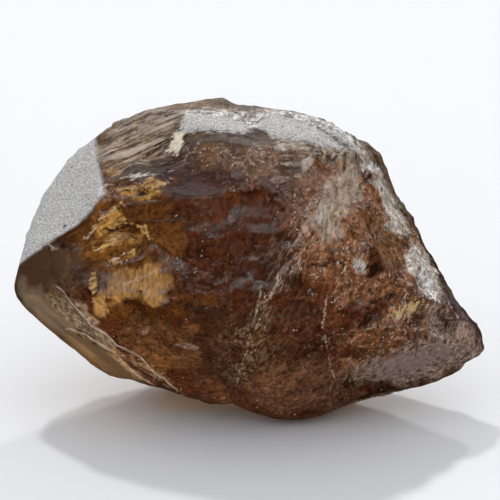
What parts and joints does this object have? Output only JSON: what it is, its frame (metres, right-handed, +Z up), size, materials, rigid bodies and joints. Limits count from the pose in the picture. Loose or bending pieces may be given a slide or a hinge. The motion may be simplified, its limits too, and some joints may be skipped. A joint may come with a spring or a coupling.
{
  "type": "rough zircon gemstone",
  "caption": "Rough brown zircon crystal with a frosted crystal face, a golden window and a broken, veined flank, lying on a small flat foot.",
  "frame": {"origin": "on the surface that the stone rests on, under the middle of its bounding box", "axes": "+X along the stone's longest extent towards its pointed tail, +Y to its back, +Z up"},
  "size_m": [0.02, 0.0131, 0.0124],
  "materials": {
    "zircon": "polished"
  },
  "bodies": {
    "root": {"zircon_crystal": "zircon"}
  },
  "joints": []
}
